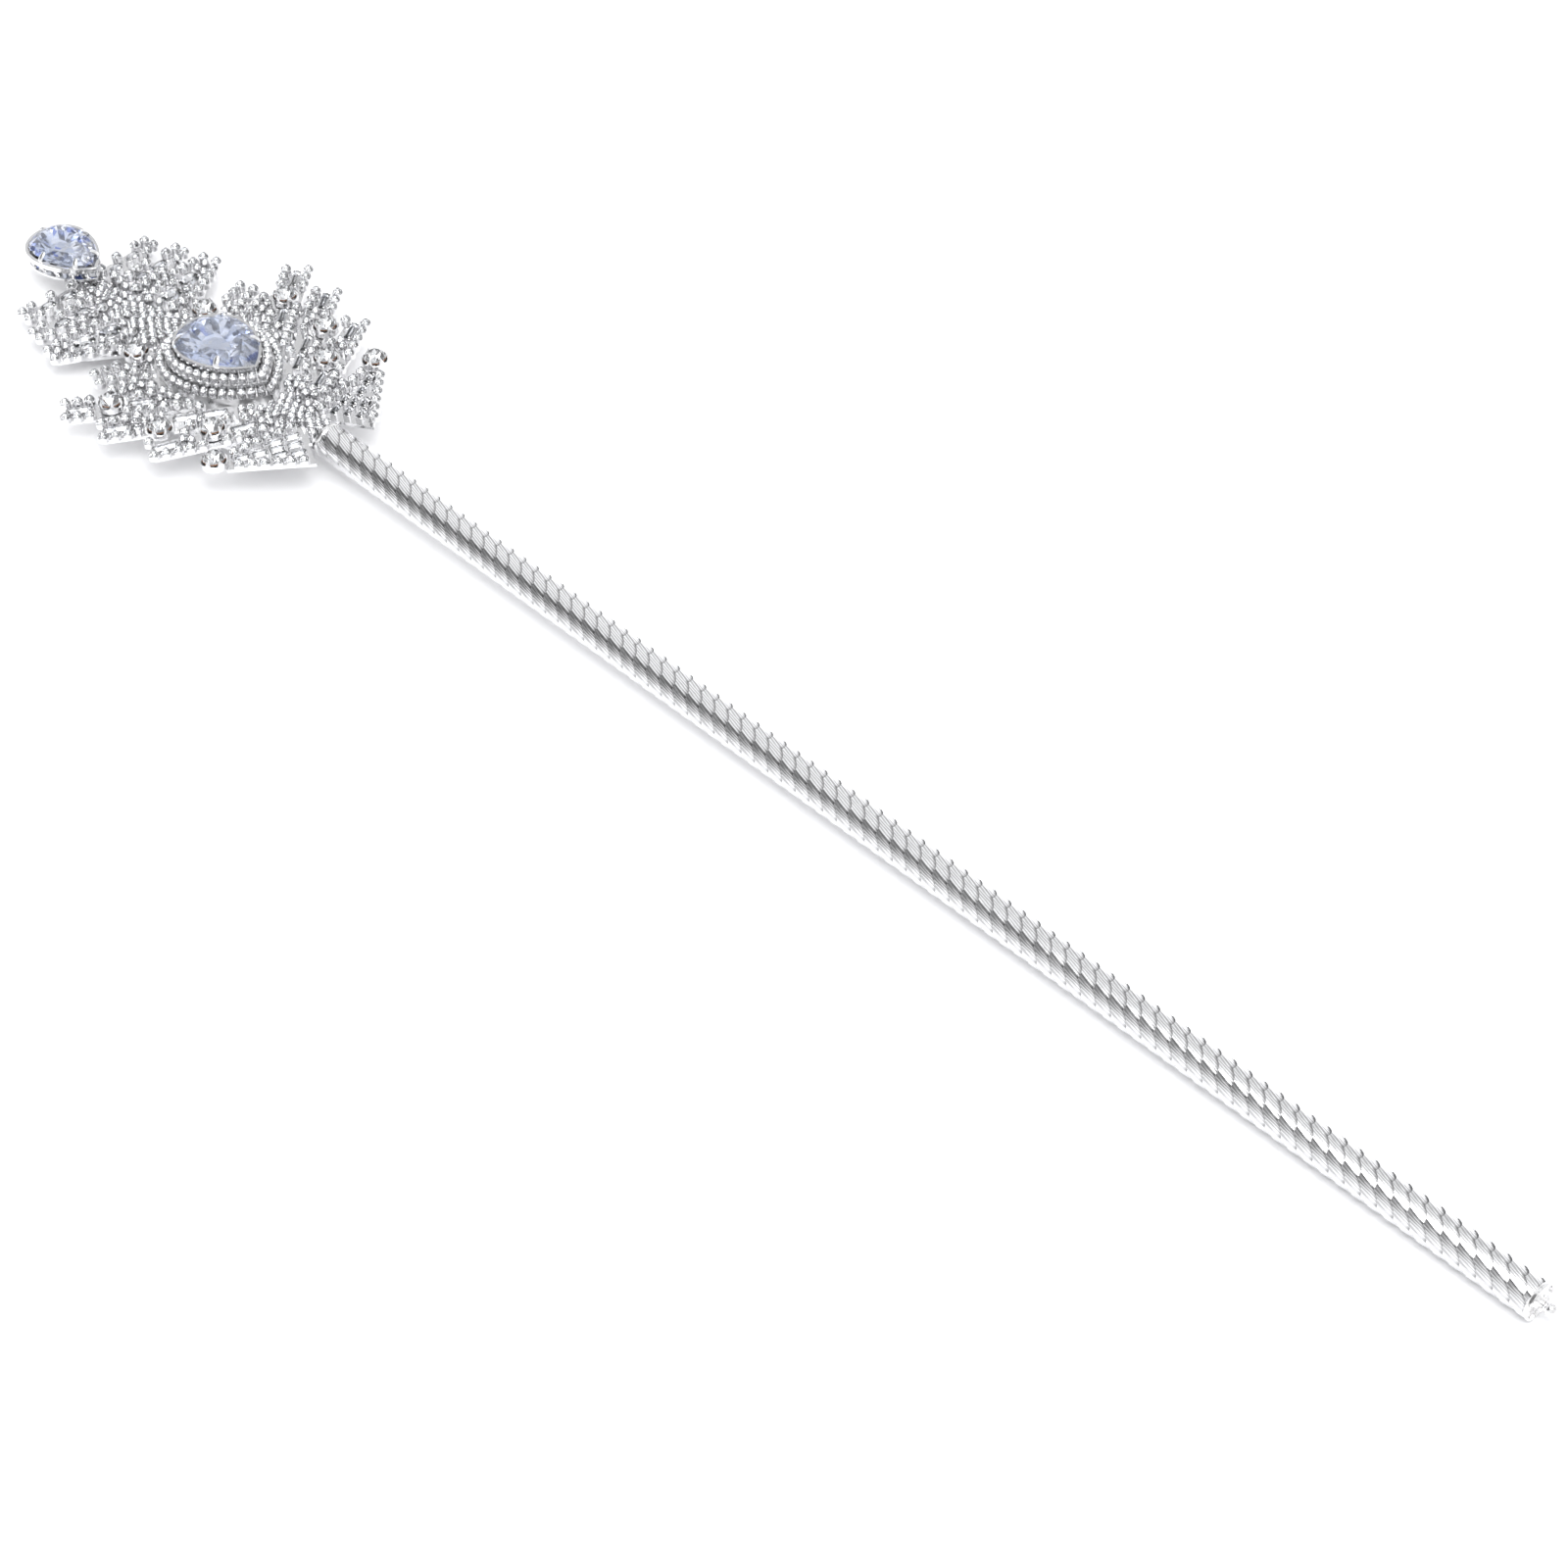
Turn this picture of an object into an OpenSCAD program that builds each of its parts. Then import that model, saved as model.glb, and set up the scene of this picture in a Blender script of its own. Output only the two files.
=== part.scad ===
// Hand-held ceremonial wand: an engine-cut silver tube that carries a fan-shaped
// head of cup-chain feathers, fancy stones and two pear-cut stones.
// Frame: origin on the tube's axis at the middle of its length, +Y from the ball end
// to the head, +X to the right seen from the front, +Z out of the head's front.

/* [Handle] */
// Outer diameter of the handle tube
tube_d = 9; // [7:0.1:14]
// Wall of the handle tube
tube_wall = 0.6; // [0.4:0.05:1.2]
// Length of the handle tube
tube_len = 362; // [200:1:450]
// Thickness of the disc that closes the tube
plug_t = 2.4; // [1.5:0.1:4]
// Depth of the disc's face below the tube's rim
plug_recess = 0.8; // [0.3:0.1:2]
// Diameter of the ball on the closed end
ball_d = 3; // [2:0.1:5]
// Distance from the disc's face to the ball's centre
ball_reach = 3.3; // [2.6:0.1:6]
// Length of the stem that sits inside the tube
stem_grip = 22; // [12:1:40]

/* [Head plates] */
// Backward lean of the head from the tube's line, in degrees
droop = 4.2; // [0:0.1:6]
// Thickness of the stamped back plates
plate_t = 0.9; // [0.6:0.1:1.5]
// Thickness of the stamped feather and lobe trays
tray_t = 0.8; // [0.5:0.1:1.2]
// Thickness of the spine bar
spine_t = 1.6; // [1.2:0.1:2.4]
// Width of the spine bar
spine_w = 5; // [3:0.5:7]
// Length of the spine bar
spine_len = 98; // [97:1:102]

/* [Cup chain] */
// Distance between neighbouring cups of the chain
chain_pitch = 2.97; // [2.9:0.01:3.6]
// Outer diameter of a chain cup
cup_d = 2.76; // [2.4:0.02:2.86]
// Height of a chain cup
cup_h = 2.2; // [1.7:0.1:2.8]
// Wall of a chain cup at its mouth
cup_wall = 0.16; // [0.12:0.01:0.25]
// Outer diameter of the small cups that fill the middle
pave_d = 2.1; // [1.8:0.02:2.2]
// Distance between the small cups
pave_pitch = 2.25; // [2.25:0.01:2.8]

/* [Fancy stones] */
// Diameter of the round stones in prong settings
round_d = 5.8; // [4.5:0.1:6.4]
// Width of the baguette stones
baguette_w = 2.1; // [1.8:0.1:2.6]
// Length of the baguette stones
baguette_len = 6.6; // [4:0.1:8]
// Height of the baguette stones
baguette_h = 1.7; // [1.2:0.1:2.2]
// Clear gap between neighbouring stones
stone_gap = 0.3; // [0.2:0.05:0.6]

/* [Pear stones] */
// Length of the centre pear stone
centre_len = 25; // [22:0.5:27]
// Width of the centre pear stone
centre_w = 18; // [16:0.5:19]
// Height of the centre stone's girdle above the plates' back
centre_lift = 9.2; // [8.6:0.1:11]
// Length of the tip pear stone
tip_len = 22; // [18:0.5:25]
// Width of the tip pear stone
tip_w = 15; // [13:0.5:17]
// Height of the tip stone's girdle above the plates' back
tip_lift = 8.2; // [7.6:0.1:10]
// Wall of a pear setting
bezel_wall = 0.7; // [0.5:0.05:1]

/* [Hidden] */
$fn = 48;
eps = 0.01;
left = -1;
right = 1;

// Levels above the back of the plates
tray_z = plate_t;
cup_z = plate_t + tray_t;
tube_end = tube_len / 2;
bore_d = tube_d - 2 * tube_wall;

// Each feather: tip, root, half width between its chain rows at the tip and at the root,
// and how far its edges bulge in the middle. Given for the right side; the left mirrors it.
feathers = [
    [[36.8, 53.4], [12.5, 34.6], 2.8, 2.8, 0.1],
    [[35.6, 40.8], [9.5, 23], 2.75, 2.7, 0.4],
    [[32.3, 26.2], [6, 13], 2.6, 2.7, 0.5],
    [[23.8, 9.4], [5.6, 0.2], 1.6, 7.4, 0],
    [[23.8, 57.4], [10.5, 53], 1.9, 1.9, 0.3],
    [[27.4, 50.4], [12, 45.6], 1.7, 1.8, 0.2]
];
// Lobes of the upper cluster, in the same form
lobes = [
    [[25.2, 73.4], [5, 68.6], 2.0, 3.6, 2.2],
    [[22.8, 82.2], [3.6, 80.8], 1.6, 2.4, 1.0],
    [[19.6, 90.6], [3.6, 88.6], 1.6, 2.2, 0.9]
];
// Centres of the prong-set round stones on one side
rounds = [[27.6, 47.2], [26.2, 30.4], [18, 20.8], [25.4, 11.2], [10.9, 58.2]];
// Oval stones of the lobes: centre, length, width, turn in degrees
ovals = [
    [[16.6, 71.4], 6, 4.8, 13], [[9.8, 69.8], 6, 4.8, 13],
    [[15.4, 81.6], 5, 2.9, 4], [[9.4, 81.2], 5, 2.9, 4],
    [[13.4, 89.8], 4.6, 2.8, 7], [[7.6, 89.1], 4.6, 2.8, 7]
];
// Half width of the back plates at heights up the head
lower_reach = [[1, 4], [6, 12], [14, 18], [30, 22], [44, 24], [54, 16], [58, 10]];
upper_reach = [[58.2, 10], [62, 12], [68, 19], [80, 19], [90, 15], [93.6, 9]];
centre_y = 37.5;
tip_y = 97.8;
halo_gap = 0.25;
halo_step = 2.35;

function unit(v) = v / norm(v);
function turned(v) = [-v[1], v[0]];
function flipped(p, side) = [side * p[0], p[1]];

// Point on one edge of a feather: t runs from 0 at the tip to 1 at the root
function edge_half(f, t) = f[2] + (f[3] - f[2]) * t + f[4] * sin(180 * t);
function edge_point(f, side, t) =
    let (along = unit(f[1] - f[0]))
    f[0] + (f[1] - f[0]) * t + turned(along) * side * edge_half(f, t);
// Cups along one edge, from the tip towards the root
function edge_cups(f, side) =
    let (n = floor(norm(edge_point(f, side, 1) - edge_point(f, side, 0)) / chain_pitch))
    let (bow = 1 + f[4] * f[4] * 0.009)
    [for (i = [0:n]) edge_point(f, side, min(1, i * chain_pitch / bow / norm(f[1] - f[0])))];
// Cups across the tip, between the two edges
function tip_cups(f) =
    let (n = floor(2 * f[2] / chain_pitch))
    [for (i = [1:1:n - 1]) edge_point(f, 1, 0) * (1 - i / n) + edge_point(f, -1, 0) * i / n];
function outline_cups(f) = concat(edge_cups(f, 1), tip_cups(f), edge_cups(f, -1));

// Keeps the points that stay clear of circles [centre, radius]
function clear_of(points, r, taken) =
    [for (p = points) if (min([for (c = taken) norm(p - c[0]) - c[1] - r]) >= 0) p];
function circles(points, r) = [for (p = points) [p, r]];
// Takes points in turn, and keeps each that is a gap away from those kept before it
function packed(points, gap, kept = [], i = 0) =
    i == len(points)
    ? kept
    : packed(points, gap,
        min(concat([gap], [for (k = kept) norm(points[i] - k)])) >= gap
            ? concat(kept, [points[i]]) : kept,
        i + 1);

// A pear outline: a circle of radius w/2 at the round end, and two larger arcs that
// meet in the point. The larger arcs are struck from the far side of the axis.
function pear_reach(l, w) = ((l - w / 2) * (l - w / 2) - w * w / 4) / w;
function pear_top(l, w) = l / 2 - w / 2;
// Points spaced evenly round a pear outline that is grown by d
function pear_points(l, w, d, pitch) =
    let (r = w / 2 + d)
    let (k = pear_reach(l, w))
    let (sweep = acos(k / (r + k)))
    let (arc = PI * r / 2)
    let (side_len = (r + k) * sweep * PI / 180)
    let (n = floor((arc + side_len) / pitch))
    [for (i = [0:n], s = [-1, 1])
        let (run = i * (arc + side_len) / n)
        if (s > 0 || (i > 0 && i < n))
            run < arc
            ? [s * r * sin(90 * run / arc), pear_top(l, w) + r * cos(90 * run / arc)]
            : let (a = (run - arc) / side_len * sweep)
              [s * ((r + k) * cos(a) - k), pear_top(l, w) - (r + k) * sin(a)]];

// Circles on the axis that together fill a grown pear outline, each as large as fits in it
function pear_cover(l, w, d) =
    let (r = w / 2 + d)
    let (k = pear_reach(l, w))
    [for (i = [0:19])
        let (down = i / 20 * (l - w / 2 + d))
        [[0, pear_top(l, w) - down], max(0, r + k - norm([k, down]))]];
function moved(cover, y) = [for (c = cover) [c[0] + [0, y], c[1]]];

// What the cups have to stay clear of, in the order in which they are set
cup_r = cup_d / 2;
pave_r = pave_d / 2;
prong_d = 0.8;
round_r = round_d / 2 + prong_d;
halo_in = bezel_wall + halo_gap + pave_r;
halo_out = halo_in + halo_step;
halo_edge = halo_out + pave_r * 0.4;
function halo_row(d) =
    packed([for (p = pear_points(centre_len, centre_w, d, pave_pitch)) p + [0, centre_y]], pave_d);
halo_cover = moved(pear_cover(centre_len, centre_w, halo_out + pave_r + 0.05), centre_y);
ovals_taken = [for (o = ovals, e = [-1, 0, 1])
    [o[0] + e * (o[1] - o[2]) / 2 * [cos(o[3]), sin(o[3])], o[2] / 2]];
fixed_taken = concat(halo_cover, circles(rounds, round_r + 0.05), ovals_taken);

// Cups of each outline in turn, clear of everything set before it
function placed(list, taken, i = 0) =
    i == len(list)
    ? []
    : let (cups = packed(clear_of(outline_cups(list[i]), cup_r, taken), cup_d))
      concat([cups], placed(list, concat(taken, circles(cups, cup_r)), i + 1));
function joined(lists) = [for (l = lists) each l];
outlines = placed(concat(feathers, lobes), fixed_taken);
feather_cups = [for (i = [0:5]) outlines[i]];
lobe_cups = [for (i = [6:8]) outlines[i]];
outline_taken = circles(joined(outlines), cup_r);

// Distance from a point to the nearest side of a feather's tray, negative inside it
tray_lip = 0.2;
function tray_gap(p, f) =
    let (len_f = norm(f[1] - f[0]))
    let (along = (p - f[0]) * unit(f[1] - f[0]))
    let (across = abs((p - f[0]) * turned(unit(f[1] - f[0]))))
    let (t = min(1, max(0, along / len_f)))
    max(across - edge_half(f, t) - tray_lip, -along, along - len_f);
// Places for small cups over the right half of a plate, given by its half width at each
// height: on the axis, or far enough from it for the mirrored cup
pave_step = 0.6;
function grid(reach, low, high) =
    [for (y = [low:pave_step:high], x = concat([0], [for (x = [pave_pitch / 2:pave_step:24]) x]))
        if (x < lookup(y, reach) - pave_r) [x, y]];
// Circles that together cover a baguette, and points at its corners
bar_room = 0.05;
function baguette_cover(p, along, l) =
    concat([for (e = [-1, -0.5, 0, 0.5, 1]) [p + along * e * (l - baguette_w) / 2, baguette_w / 2]],
        [for (e = [-1, 1], c = [-1, 1])
            [p + along * e * l / 2 + turned(along) * c * baguette_w / 2, bar_room]]);
// Places along a feather's axis that stay clear of what is set before, from the tip on
function baguette_places(f, l, off, s = 0) =
    let (len_f = norm(f[1] - f[0]))
    let (along = unit(f[1] - f[0]))
    s + l > len_f
    ? []
    : let (mid = s + l / 2)
      let (p = f[0] + along * mid + turned(along) * off * mid / len_f)
      let (free = min([for (b = baguette_cover(p, along, l), c = concat(fixed_taken, outline_taken))
          norm(b[0] - c[0]) - c[1] - b[1]]))
      free > bar_room && (off == 0 || abs(off) * s / len_f > baguette_w)
      ? concat([p], baguette_places(f, l, off, s + l + stone_gap))
      : baguette_places(f, l, off, s + 0.3);
fan = 3.9;
fan_feather = 3;
short = 0.6;
function bar_len(i) = baguette_len * (i == fan_feather ? short : 1);
function bars(i) =
    [for (off = i == fan_feather ? [0, -fan, fan] : [0])
        each baguette_places(feathers[i], bar_len(i), off)];
feather_bars = [for (i = [0:5]) bars(i)];
bars_taken = [for (i = [0:5], p = feather_bars[i])
    each baguette_cover(p, unit(feathers[i][1] - feathers[i][0]), bar_len(i))];
// Small cups that fill what is left of the trays
function fill_grid(f) =
    [for (a = [0:pave_step:norm(f[1] - f[0])], b = [-8:pave_step:8])
        let (along = unit(f[1] - f[0]))
        let (t = a / norm(f[1] - f[0]))
        let (p = f[0] + along * a + turned(along) * b)
        if (abs(b) < edge_half(f, t) - pave_r * 0.6 && p[0] >= pave_pitch / 2) p];
fill_taken = concat(fixed_taken, outline_taken, bars_taken);
function fill_places() =
    packed(clear_of([for (f = concat(feathers, lobes)) each fill_grid(f)],
        pave_r, fill_taken), pave_d);

function tilt_of(f) = atan2(f[1][1] - f[0][1], f[1][0] - f[0][0]);

// Small cups on the plates, clear of the trays and of the small cups on them
function pave_places(fill) =
    let (taken = concat(fixed_taken, outline_taken, circles(fill, pave_r)))
    let (places = concat(grid(lower_reach, 2.6, 56.9), grid(upper_reach, 59.3, 92.5)))
    packed([for (p = clear_of(places, pave_r, taken))
        if (min([for (f = concat(feathers, lobes)) tray_gap(p, f)]) >= pave_r) p], pave_d);

// Puts pieces on the head, which starts at the tube's end and leans back
module on_head(z = 0) {
    translate([0, tube_end, 0])
        rotate([-droop, 0, 0])
            translate([0, 0, z])
                children();
}
module on_side(side) {
    if (side == left) mirror([1, 0, 0]) children();
    else children();
}

// A cup: a short tube with a conical seat
seat_low = 0.45;
seat_share = 0.22;
// Radius of the seat where it has gone a share of the way up, past the mouth above 1
function seat_top(d, share) = seat_share * d + share * (d / 2 - cup_wall - seat_share * d);
module cup(d) {
    difference() {
        cylinder(d = d, h = cup_h);
        translate([0, 0, seat_low * cup_h])
            cylinder(r1 = seat_share * d, r2 = seat_top(d, 1.2), h = 1.2 * (1 - seat_low) * cup_h);
    }
}
crystal_crown = 0.4;
module crystal(d) {
    translate([0, 0, seat_low * cup_h])
        cylinder(r1 = seat_share * d, r2 = seat_top(d, 1), h = (1 - seat_low) * cup_h);
    translate([0, 0, cup_h])
        cylinder(r1 = d / 2 - cup_wall, r2 = d * 0.25, h = crystal_crown);
}
link_w = 0.9;
link_t = 0.5;
// A run of cups and the links that join neighbours
module chain(points, d, pitch) {
    for (p = points) translate(p) cup(d);
    for (i = [0:1:len(points) - 2]) {
        step = points[i + 1] - points[i];
        if (norm(step) < 1.4 * pitch)
            translate(points[i])
                rotate([0, 0, atan2(step[1], step[0])])
                    translate([0, -link_w / 2, 0])
                        cube([norm(step), link_w, link_t]);
    }
}

module pear_slab(l, w, d, h) {
    r = w / 2 + d;
    k = pear_reach(l, w);
    translate([0, pear_top(l, w), 0]) {
        cylinder(r = r, h = h, $fn = 96);
        intersection() {
            translate([k, 0, 0]) cylinder(r = r + k, h = h, $fn = 96);
            translate([-k, 0, 0]) cylinder(r = r + k, h = h, $fn = 96);
            translate([-r, -2 * l, 0]) cube([2 * r, 2 * l, h]);
        }
    }
}
// A pear that narrows from growth d1 to growth d2 over its height
module pear_taper(l, w, d1, d2, h) {
    k = pear_reach(l, w);
    translate([0, pear_top(l, w), 0]) {
        cylinder(r1 = w / 2 + d1, r2 = w / 2 + d2, h = h, $fn = 96);
        intersection() {
            translate([k, 0, 0])
                cylinder(r1 = w / 2 + d1 + k, r2 = w / 2 + d2 + k, h = h, $fn = 96);
            translate([-k, 0, 0])
                cylinder(r1 = w / 2 + d1 + k, r2 = w / 2 + d2 + k, h = h, $fn = 96);
            translate([-w, -2 * l, 0]) cube([2 * w, 2 * l, h]);
        }
    }
}
girdle_t = 0.5;
crown_h = 2.3;
pavilion_h = 4.2;
tip_pavilion_h = 3;
tip_floor = 0.7;
crown_in = 0.22;
pavilion_in = 0.36;
module pear_stone(l, w, deep) {
    pear_slab(l, w, 0, girdle_t);
    translate([0, 0, girdle_t]) pear_taper(l, w, 0, -crown_in * w, crown_h);
    translate([0, 0, -deep]) pear_taper(l, w, -pavilion_in * w, 0, deep);
}
// A setting: a pear wall from the base up to the stone's girdle, with a seat inside
module pear_setting(l, w, h) {
    difference() {
        pear_slab(l, w, bezel_wall, h + girdle_t);
        translate([0, 0, h]) pear_slab(l, w, 0, girdle_t + 1);
        translate([0, 0, h - pavilion_h]) pear_taper(l, w, -pavilion_in * w, 0, pavilion_h);
        translate([0, 0, -1]) pear_slab(l, w, -pavilion_in * w, h - pavilion_h + 1 + eps);
    }
}

module handle_tube() {
    color("silver")
        translate([0, tube_end, 0])
            rotate([90, 0, 0])
                difference() {
                    cylinder(d = tube_d, h = tube_len);
                    translate([0, 0, -1]) cylinder(d = bore_d, h = tube_len + 2);
                }
}
neck_d = 1.8;
flare_h = 1.1;
module end_plug() {
    color("gainsboro")
        translate([0, -tube_end + plug_recess, 0])
            rotate([-90, 0, 0])
                difference() {
                    cylinder(d = bore_d, h = plug_t);
                    translate([0, 0, -1]) cylinder(d = neck_d, h = plug_t + 2);
                }
}
module ball_finial() {
    color("silver")
        translate([0, -tube_end + plug_recess, 0])
            rotate([90, 0, 0]) {
                translate([0, 0, ball_reach]) sphere(d = ball_d);
                cylinder(d1 = 2 * neck_d, d2 = neck_d, h = flare_h);
                translate([0, 0, -plug_t]) cylinder(d = neck_d, h = plug_t + ball_reach);
                translate([0, 0, -plug_t - 0.8]) cylinder(d = 2 * neck_d, h = 0.8);
            }
}
stem_out = 6;
module head_stem() {
    color("darkgray")
        difference() {
            translate([0, tube_end + stem_out, 0])
                rotate([90, 0, 0]) cylinder(d = bore_d, h = stem_out + stem_grip);
            on_head(-spine_t) translate([-tube_d, 0.2, 0]) cube([2 * tube_d, tube_d, tube_d]);
        }
}
module spine_bar() {
    color("darkgray")
        on_head(-spine_t)
            translate([-spine_w / 2, 0.5, 0])
                cube([spine_w, spine_len - 0.5, spine_t]);
}
function plate_outline(reach) =
    concat([for (r = reach) [r[1], r[0]]],
        [for (i = [len(reach) - 1:-1:0]) [-reach[i][1], reach[i][0]]]);
module lower_back_plate() {
    color("silver") on_head() linear_extrude(plate_t) polygon(plate_outline(lower_reach));
}
module upper_back_plate() {
    color("silver") on_head() linear_extrude(plate_t) polygon(plate_outline(upper_reach));
}

// The tray under a feather or a lobe: its outline follows the middle of the chain rows,
// cut back where an earlier tray or the base of the halo is in the way
function tray_outline(f, lip) =
    let (along = unit(f[1] - f[0]))
    concat(
        [for (i = [0:8]) edge_point(f, 1, i / 8) + turned(along) * lip],
        [for (i = [8:-1:0]) edge_point(f, -1, i / 8) - turned(along) * lip]);
module tray(list, i) {
    difference() {
        linear_extrude(tray_t) polygon(tray_outline(list[i], tray_lip));
        translate([0, centre_y, -1]) pear_slab(centre_len, centre_w, halo_edge + 0.1, 4);
        for (j = [0:1:i - 1])
            translate([0, 0, -1]) linear_extrude(4) polygon(tray_outline(list[j], tray_lip + 0.1));
    }
}
module feather_tray(side, i) {
    color("silver") on_head(tray_z) on_side(side) tray(feathers, i);
}
module feather_chain(side, i) {
    color("silver") on_head(cup_z) on_side(side) chain(feather_cups[i], cup_d, chain_pitch);
}
module feather_crystals(side) {
    color("white") on_head(cup_z) on_side(side)
        for (p = joined(feather_cups)) translate(p) crystal(cup_d);
}

// A baguette lies along X: a bar with sloping sides and ends
bevel = 0.45;
module baguette(l, w) {
    intersection() {
        rotate([90, 0, 90])
            translate([0, 0, -l / 2])
                linear_extrude(l)
                    polygon([[-w / 2, 0], [w / 2, 0], [w / 2, baguette_h - bevel],
                        [w / 2 - bevel, baguette_h], [bevel - w / 2, baguette_h],
                        [-w / 2, baguette_h - bevel]]);
        rotate([90, 0, 0])
            translate([0, 0, -w / 2])
                linear_extrude(w)
                    polygon([[-l / 2, 0], [l / 2, 0], [l / 2, baguette_h - bevel],
                        [l / 2 - bevel, baguette_h], [bevel - l / 2, baguette_h],
                        [-l / 2, baguette_h - bevel]]);
    }
}
module baguettes(side) {
    color("white") on_head(cup_z) on_side(side)
        for (i = [0:5], p = feather_bars[i])
            translate(p) rotate([0, 0, tilt_of(feathers[i])]) baguette(bar_len(i), baguette_w);
}

round_base = 2.6;
round_seat = 0.6;
module round_settings(side) {
    color("silver") on_head(cup_z) on_side(side)
        for (p = rounds)
            translate(p) {
                difference() {
                    cylinder(d = round_d + prong_d, h = round_base);
                    translate([0, 0, round_seat])
                        cylinder(d1 = 1, d2 = round_d, h = round_base - round_seat);
                }
                for (a = [45:90:359])
                    rotate([0, 0, a])
                        translate([round_d / 2 + prong_d / 2, 0, 0])
                            cylinder(d = prong_d, h = round_base + 1);
            }
}
module round_stones(side) {
    color("white") on_head(cup_z) on_side(side)
        for (p = rounds)
            translate([p[0], p[1], round_seat]) {
                cylinder(d1 = 1, d2 = round_d, h = round_base - round_seat);
                translate([0, 0, round_base - round_seat])
                    cylinder(d1 = round_d, d2 = round_d * 0.55, h = 1.3);
            }
}

module lobe_trays(side) {
    color("silver") on_head(tray_z) on_side(side) for (i = [0:2]) tray(lobes, i);
}
module lobe_chains(side) {
    color("silver") on_head(cup_z) on_side(side)
        for (cups = lobe_cups) chain(cups, cup_d, chain_pitch);
}
module lobe_crystals(side) {
    color("white") on_head(cup_z) on_side(side)
        for (p = joined(lobe_cups)) translate(p) crystal(cup_d);
}
module oval_stone(l, w) {
    for (s = [-1, 1])
        translate([s * (l - w) / 2, 0, 0]) cylinder(d = w, h = baguette_h);
    translate([-(l - w) / 2, -w / 2, 0]) cube([l - w, w, baguette_h]);
}
module oval_stones(side) {
    color("white") on_head(cup_z) on_side(side)
        for (o = ovals) translate(o[0]) rotate([0, 0, o[3]]) oval_stone(o[1], o[2]);
}

// The cast base under the halo steps up towards the centre stone
halo_low = 2.8;
halo_high = 5.6;
module halo_base() {
    color("silver") on_head(plate_t) translate([0, centre_y, 0])
        difference() {
            union() {
                pear_slab(centre_len, centre_w, halo_edge, halo_low);
                pear_slab(centre_len, centre_w, halo_in + halo_step / 2 - 0.15, halo_high);
            }
            translate([0, 0, -1]) pear_slab(centre_len, centre_w, bezel_wall, 9);
        }
}
module halo_cups(d, z) {
    points = halo_row(d);
    on_head(plate_t + z) for (p = points) translate(p) children();
}
module halo_chain() {
    color("silver") {
        halo_cups(halo_in, halo_high) cup(pave_d);
        halo_cups(halo_out, halo_low) cup(pave_d);
    }
}
module halo_crystals() {
    color("white") {
        halo_cups(halo_in, halo_high) crystal(pave_d);
        halo_cups(halo_out, halo_low) crystal(pave_d);
    }
}
module centre_setting() {
    color("silver") on_head(plate_t) translate([0, centre_y, 0])
        pear_setting(centre_len, centre_w, centre_lift - plate_t);
}
module centre_stone() {
    color("lightsteelblue") on_head(centre_lift) translate([0, centre_y, 0])
        pear_stone(centre_len, centre_w, pavilion_h);
}

// Small cups on the plates and, a tray higher, in the feathers and lobes
module each_small() {
    fill = fill_places();
    on_head(plate_t)
        for (p = pave_places(fill), side = p[0] > 0 ? [left, right] : [right])
            translate(flipped(p, side)) children();
    on_head(cup_z)
        for (p = fill, side = [left, right]) translate(flipped(p, side)) children();
}
module pave_cups() {
    color("silver") each_small() cup(pave_d);
}
module pave_crystals() {
    color("white") each_small() crystal(pave_d);
}

post_d = 4;
tip_base = tip_lift - tip_pavilion_h - tip_floor;
module tip_post() {
    color("silver") on_head()
        translate([0, spine_len - post_d / 2, 0])
            cylinder(d = post_d, h = tip_base);
}
// A basket narrows below the setting's round end, clear of the post and the lobes
basket_h = 2.9;
basket_top = 10;
basket_foot = 6;
basket_wall = 0.8;
basket_y = 5.7;
module tip_setting() {
    color("silver") on_head(tip_base) translate([0, tip_y, 0]) {
        difference() {
            pear_slab(tip_len, tip_w, bezel_wall, tip_pavilion_h + tip_floor + girdle_t);
            translate([0, 0, tip_pavilion_h + tip_floor]) pear_slab(tip_len, tip_w, 0, girdle_t + 1);
            translate([0, 0, tip_floor])
                pear_taper(tip_len, tip_w, -pavilion_in * tip_w, 0, tip_pavilion_h);
        }
        translate([0, basket_y, -basket_h])
            difference() {
                cylinder(d1 = basket_foot, d2 = basket_top, h = basket_h);
                translate([0, 0, -1])
                    cylinder(d = basket_foot - 2 * basket_wall, h = basket_h + 1 - basket_wall);
            }
    }
}
module tip_stone() {
    color("lightsteelblue") on_head(tip_lift) translate([0, tip_y, 0])
        pear_stone(tip_len, tip_w, tip_pavilion_h);
}

handle_tube();
end_plug();
ball_finial();
head_stem();
spine_bar();
lower_back_plate();
upper_back_plate();
feather_tray(left, 0);  // feather_tray_left_1
feather_tray(left, 1);  // feather_tray_left_2
feather_tray(left, 2);  // feather_tray_left_3
feather_tray(left, 3);  // feather_tray_left_4
feather_tray(left, 4);  // feather_tray_left_5
feather_tray(left, 5);  // feather_tray_left_6
feather_tray(right, 0);  // feather_tray_right_1
feather_tray(right, 1);  // feather_tray_right_2
feather_tray(right, 2);  // feather_tray_right_3
feather_tray(right, 3);  // feather_tray_right_4
feather_tray(right, 4);  // feather_tray_right_5
feather_tray(right, 5);  // feather_tray_right_6
feather_chain(left, 0);  // feather_chain_left_1
feather_chain(left, 1);  // feather_chain_left_2
feather_chain(left, 2);  // feather_chain_left_3
feather_chain(left, 3);  // feather_chain_left_4
feather_chain(left, 4);  // feather_chain_left_5
feather_chain(left, 5);  // feather_chain_left_6
feather_chain(right, 0);  // feather_chain_right_1
feather_chain(right, 1);  // feather_chain_right_2
feather_chain(right, 2);  // feather_chain_right_3
feather_chain(right, 3);  // feather_chain_right_4
feather_chain(right, 4);  // feather_chain_right_5
feather_chain(right, 5);  // feather_chain_right_6
feather_crystals(left);  // feather_crystals_left
feather_crystals(right);  // feather_crystals_right
baguettes(left);  // baguettes_left
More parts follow.
